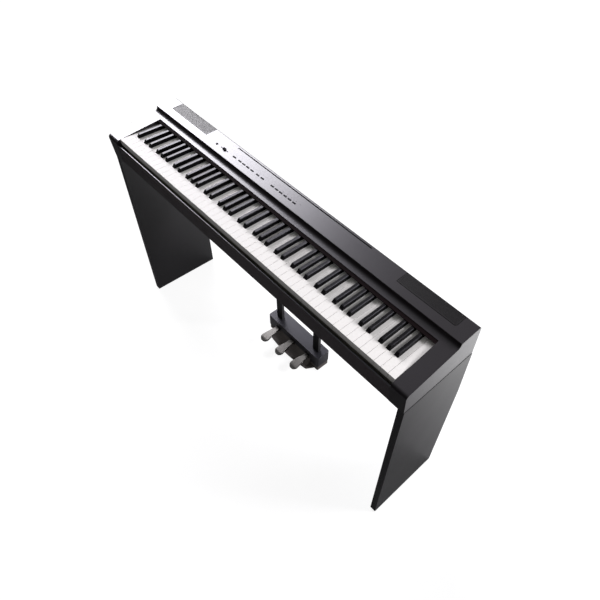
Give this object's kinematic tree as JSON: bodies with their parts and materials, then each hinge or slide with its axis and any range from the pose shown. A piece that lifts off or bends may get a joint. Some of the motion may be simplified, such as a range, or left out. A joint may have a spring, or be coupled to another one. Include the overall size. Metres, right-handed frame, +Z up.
{
  "type": "digital piano on stand",
  "caption": "Full-size digital piano with hinged keys, push buttons and a volume slider, on a two-panel stand with a backboard and a three-pedal unit.",
  "frame": {"origin": "on the floor, under the middle of the overall width and depth", "axes": "+X from the bass end to the treble end, +Y from the player to the back, +Z up"},
  "size_m": [1.326, 0.298, 0.7927],
  "materials": {
    "case_black": "smooth satin moulding",
    "case_textured": "fine textured moulding",
    "keyslip": "satin moulding",
    "felt": "pressed felt",
    "frame_plastic": "as moulded",
    "steel": "zinc plated",
    "circuit_board": "lacquered board",
    "contact_rubber": "moulded",
    "lamp": "clear moulding",
    "grille": "satin paint",
    "speaker": "dark paint",
    "socket": "as moulded",
    "button": "satin moulding",
    "white_key": "polished moulding",
    "black_key": "satin moulding",
    "panel_board_black": "dark foil on particle board",
    "black_steel": "black paint",
    "glide": "moulded",
    "pedal_box": "satin moulding",
    "pedal_foot": "fine matt moulding",
    "pedal_metal": "satin nickel plate"
  },
  "bodies": {
    "instrument": {"upper_case": "case_black", "lower_case": "case_textured", "keyslip": "keyslip", "key_felt": "felt", "key_frame": "frame_plastic", "fulcrum_rod": "steel", "contact_board": "circuit_board", "contact_strip": "contact_rubber", "main_board": "circuit_board", "panel_board": "circuit_board", "panel_lamps": "lamp", "grille_left": "grille", "grille_right": "grille", "speakers": "speaker", "sockets": "socket", "case_screws": "steel", "side_panel_left": "panel_board_black", "side_panel_right": "panel_board_black", "rear_board": "panel_board_black", "brackets": "black_steel", "stand_screws": "steel", "floor_glides": "glide", "pedal_box": "pedal_box", "pedal_base": "pedal_foot", "pedal_posts": "panel_board_black", "pedal_axle": "steel", "pedal_springs": "steel"},
    "key_c4": {"key_c4": "white_key"},
    "keys_c": {"keys_c": "white_key"},
    "key_cs4": {"key_cs4": "black_key"},
    "keys_cs": {"keys_cs": "black_key"},
    "key_d4": {"key_d4": "white_key"},
    "keys_d": {"keys_d": "white_key"},
    "key_ds4": {"key_ds4": "black_key"},
    "keys_ds": {"keys_ds": "black_key"},
    "key_e4": {"key_e4": "white_key"},
    "keys_e": {"keys_e": "white_key"},
    "key_f4": {"key_f4": "white_key"},
    "keys_f": {"keys_f": "white_key"},
    "key_fs4": {"key_fs4": "black_key"},
    "keys_fs": {"keys_fs": "black_key"},
    "key_g4": {"key_g4": "white_key"},
    "keys_g": {"keys_g": "white_key"},
    "key_gs4": {"key_gs4": "black_key"},
    "keys_gs": {"keys_gs": "black_key"},
    "key_a4": {"key_a4": "white_key"},
    "keys_a": {"keys_a": "white_key"},
    "key_as4": {"key_as4": "black_key"},
    "keys_as": {"keys_as": "black_key"},
    "key_b4": {"key_b4": "white_key"},
    "keys_b": {"keys_b": "white_key"},
    "power_button": {"power_button": "button"},
    "play_buttons": {"play_buttons": "button"},
    "tempo_buttons": {"tempo_buttons": "button"},
    "voice_buttons": {"voice_buttons": "button"},
    "volume_knob": {"volume_knob": "button"},
    "pedal_left": {"pedal_left": "pedal_metal"},
    "pedal_center": {"pedal_center": "pedal_metal"},
    "pedal_right": {"pedal_right": "pedal_metal"}
  },
  "joints": [
    {"name": "key_c4_press", "type": "hinge", "parent": "instrument", "child": "key_c4", "pos_m": [0, 0.071, 0.749], "axis": [1, 0, 0], "range_deg": [0, 2.79], "stiffness_Nm_per_rad": 1.5, "springref_deg": -4.58},
    {"name": "keys_c_press", "type": "hinge", "parent": "instrument", "child": "keys_c", "pos_m": [0, 0.071, 0.749], "axis": [1, 0, 0], "range_deg": [0, 2.79], "stiffness_Nm_per_rad": 10.5, "springref_deg": -4.58},
    {"name": "key_cs4_press", "type": "hinge", "parent": "instrument", "child": "key_cs4", "pos_m": [0, 0.071, 0.749], "axis": [1, 0, 0], "range_deg": [0, 2.79], "stiffness_Nm_per_rad": 1.5, "springref_deg": -4.58},
    {"name": "keys_cs_press", "type": "hinge", "parent": "instrument", "child": "keys_cs", "pos_m": [0, 0.071, 0.749], "axis": [1, 0, 0], "range_deg": [0, 2.79], "stiffness_Nm_per_rad": 9, "springref_deg": -4.58},
    {"name": "key_d4_press", "type": "hinge", "parent": "instrument", "child": "key_d4", "pos_m": [0, 0.071, 0.749], "axis": [1, 0, 0], "range_deg": [0, 2.79], "stiffness_Nm_per_rad": 1.5, "springref_deg": -4.58},
    {"name": "keys_d_press", "type": "hinge", "parent": "instrument", "child": "keys_d", "pos_m": [0, 0.071, 0.749], "axis": [1, 0, 0], "range_deg": [0, 2.79], "stiffness_Nm_per_rad": 9, "springref_deg": -4.58},
    {"name": "key_ds4_press", "type": "hinge", "parent": "instrument", "child": "key_ds4", "pos_m": [0, 0.071, 0.749], "axis": [1, 0, 0], "range_deg": [0, 2.79], "stiffness_Nm_per_rad": 1.5, "springref_deg": -4.58},
    {"name": "keys_ds_press", "type": "hinge", "parent": "instrument", "child": "keys_ds", "pos_m": [0, 0.071, 0.749], "axis": [1, 0, 0], "range_deg": [0, 2.79], "stiffness_Nm_per_rad": 9, "springref_deg": -4.58},
    {"name": "key_e4_press", "type": "hinge", "parent": "instrument", "child": "key_e4", "pos_m": [0, 0.071, 0.749], "axis": [1, 0, 0], "range_deg": [0, 2.79], "stiffness_Nm_per_rad": 1.5, "springref_deg": -4.58},
    {"name": "keys_e_press", "type": "hinge", "parent": "instrument", "child": "keys_e", "pos_m": [0, 0.071, 0.749], "axis": [1, 0, 0], "range_deg": [0, 2.79], "stiffness_Nm_per_rad": 9, "springref_deg": -4.58},
    {"name": "key_f4_press", "type": "hinge", "parent": "instrument", "child": "key_f4", "pos_m": [0, 0.071, 0.749], "axis": [1, 0, 0], "range_deg": [0, 2.79], "stiffness_Nm_per_rad": 1.5, "springref_deg": -4.58},
    {"name": "keys_f_press", "type": "hinge", "parent": "instrument", "child": "keys_f", "pos_m": [0, 0.071, 0.749], "axis": [1, 0, 0], "range_deg": [0, 2.79], "stiffness_Nm_per_rad": 9, "springref_deg": -4.58},
    {"name": "key_fs4_press", "type": "hinge", "parent": "instrument", "child": "key_fs4", "pos_m": [0, 0.071, 0.749], "axis": [1, 0, 0], "range_deg": [0, 2.79], "stiffness_Nm_per_rad": 1.5, "springref_deg": -4.58},
    {"name": "keys_fs_press", "type": "hinge", "parent": "instrument", "child": "keys_fs", "pos_m": [0, 0.071, 0.749], "axis": [1, 0, 0], "range_deg": [0, 2.79], "stiffness_Nm_per_rad": 9, "springref_deg": -4.58},
    {"name": "key_g4_press", "type": "hinge", "parent": "instrument", "child": "key_g4", "pos_m": [0, 0.071, 0.749], "axis": [1, 0, 0], "range_deg": [0, 2.79], "stiffness_Nm_per_rad": 1.5, "springref_deg": -4.58},
    {"name": "keys_g_press", "type": "hinge", "parent": "instrument", "child": "keys_g", "pos_m": [0, 0.071, 0.749], "axis": [1, 0, 0], "range_deg": [0, 2.79], "stiffness_Nm_per_rad": 9, "springref_deg": -4.58},
    {"name": "key_gs4_press", "type": "hinge", "parent": "instrument", "child": "key_gs4", "pos_m": [0, 0.071, 0.749], "axis": [1, 0, 0], "range_deg": [0, 2.79], "stiffness_Nm_per_rad": 1.5, "springref_deg": -4.58},
    {"name": "keys_gs_press", "type": "hinge", "parent": "instrument", "child": "keys_gs", "pos_m": [0, 0.071, 0.749], "axis": [1, 0, 0], "range_deg": [0, 2.79], "stiffness_Nm_per_rad": 9, "springref_deg": -4.58},
    {"name": "key_a4_press", "type": "hinge", "parent": "instrument", "child": "key_a4", "pos_m": [0, 0.071, 0.749], "axis": [1, 0, 0], "range_deg": [0, 2.79], "stiffness_Nm_per_rad": 1.5, "springref_deg": -4.58},
    {"name": "keys_a_press", "type": "hinge", "parent": "instrument", "child": "keys_a", "pos_m": [0, 0.071, 0.749], "axis": [1, 0, 0], "range_deg": [0, 2.79], "stiffness_Nm_per_rad": 10.5, "springref_deg": -4.58},
    {"name": "key_as4_press", "type": "hinge", "parent": "instrument", "child": "key_as4", "pos_m": [0, 0.071, 0.749], "axis": [1, 0, 0], "range_deg": [0, 2.79], "stiffness_Nm_per_rad": 1.5, "springref_deg": -4.58},
    {"name": "keys_as_press", "type": "hinge", "parent": "instrument", "child": "keys_as", "pos_m": [0, 0.071, 0.749], "axis": [1, 0, 0], "range_deg": [0, 2.79], "stiffness_Nm_per_rad": 10.5, "springref_deg": -4.58},
    {"name": "key_b4_press", "type": "hinge", "parent": "instrument", "child": "key_b4", "pos_m": [0, 0.071, 0.749], "axis": [1, 0, 0], "range_deg": [0, 2.79], "stiffness_Nm_per_rad": 1.5, "springref_deg": -4.58},
    {"name": "keys_b_press", "type": "hinge", "parent": "instrument", "child": "keys_b", "pos_m": [0, 0.071, 0.749], "axis": [1, 0, 0], "range_deg": [0, 2.79], "stiffness_Nm_per_rad": 10.5, "springref_deg": -4.58},
    {"name": "power_button_press", "type": "slide", "parent": "instrument", "child": "power_button", "axis": [0, 0.0262, -0.9997], "range_m": [0, 0.0008], "stiffness_N_per_m": 400, "springref_m": -0.001},
    {"name": "play_buttons_press", "type": "slide", "parent": "instrument", "child": "play_buttons", "axis": [0, 0.0262, -0.9997], "range_m": [0, 0.0008], "stiffness_N_per_m": 1200, "springref_m": -0.001},
    {"name": "tempo_buttons_press", "type": "slide", "parent": "instrument", "child": "tempo_buttons", "axis": [0, 0.0262, -0.9997], "range_m": [0, 0.0008], "stiffness_N_per_m": 1600, "springref_m": -0.001},
    {"name": "voice_buttons_press", "type": "slide", "parent": "instrument", "child": "voice_buttons", "axis": [0, 0.0262, -0.9997], "range_m": [0, 0.0008], "stiffness_N_per_m": 2400, "springref_m": -0.001},
    {"name": "volume_slide", "type": "slide", "parent": "instrument", "child": "volume_knob", "axis": [1, 0, 0], "range_m": [-0.015, 0.015]},
    {"name": "pedal_left_press", "type": "hinge", "parent": "instrument", "child": "pedal_left", "pos_m": [0, 0.12, 0.049], "axis": [1, 0, 0], "range_deg": [0, 8], "stiffness_Nm_per_rad": 4, "springref_deg": -20.05},
    {"name": "pedal_center_press", "type": "hinge", "parent": "instrument", "child": "pedal_center", "pos_m": [0, 0.12, 0.049], "axis": [1, 0, 0], "range_deg": [0, 8], "stiffness_Nm_per_rad": 4, "springref_deg": -20.05},
    {"name": "pedal_right_press", "type": "hinge", "parent": "instrument", "child": "pedal_right", "pos_m": [0, 0.12, 0.049], "axis": [1, 0, 0], "range_deg": [0, 8], "stiffness_Nm_per_rad": 4, "springref_deg": -20.05}
  ]
}
